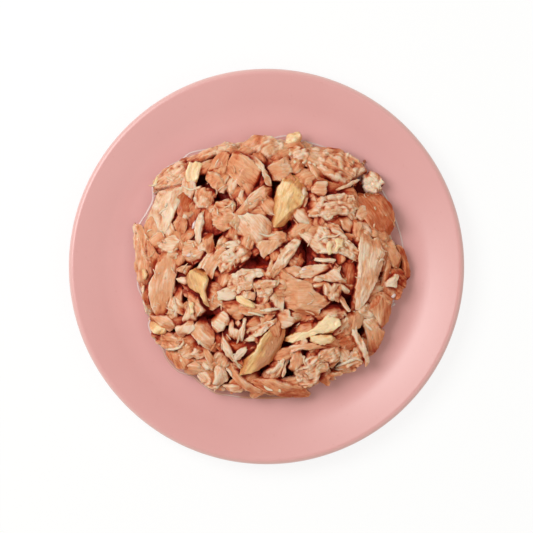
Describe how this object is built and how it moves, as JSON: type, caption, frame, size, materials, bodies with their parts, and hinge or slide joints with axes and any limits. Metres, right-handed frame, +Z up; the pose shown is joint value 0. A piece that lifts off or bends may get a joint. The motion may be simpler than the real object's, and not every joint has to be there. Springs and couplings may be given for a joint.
{
  "type": "plate of flaked wet cat food",
  "caption": "Low round heap of moist tuna flakes with pale pieces, served on a small round glazed plate with a flat well and foot ring.",
  "frame": {"origin": "centre of the plate at the underside of its foot ring, on the table", "axes": "+Z up along the plate's axis; +X and +Y in the table plane, +Y to the far side of the plate as it is served"},
  "size_m": [0.15, 0.15, 0.0278],
  "materials": {
    "pink_glaze": "soft gloss pink glaze over stoneware, all over",
    "tuna_flesh": "moist cooked tuna, pinkish tan, fibrous, red-brown in the creases; gloss plastic stands in for food",
    "pale_flesh": "moist cooked pale yellow meat, smooth; gloss plastic stands in for food",
    "juice": "thin clear fish juice round the foot of the heap, slightly oily"
  },
  "bodies": {
    "root": {"plate": "pink_glaze", "tuna_heap": "tuna_flesh", "pale_piece_1": "pale_flesh", "pale_piece_2": "pale_flesh", "pale_piece_3": "pale_flesh", "pale_piece_4": "pale_flesh", "pale_piece_5": "pale_flesh", "pale_piece_6": "pale_flesh", "pale_piece_7": "pale_flesh", "pale_piece_8": "pale_flesh"}
  },
  "joints": []
}
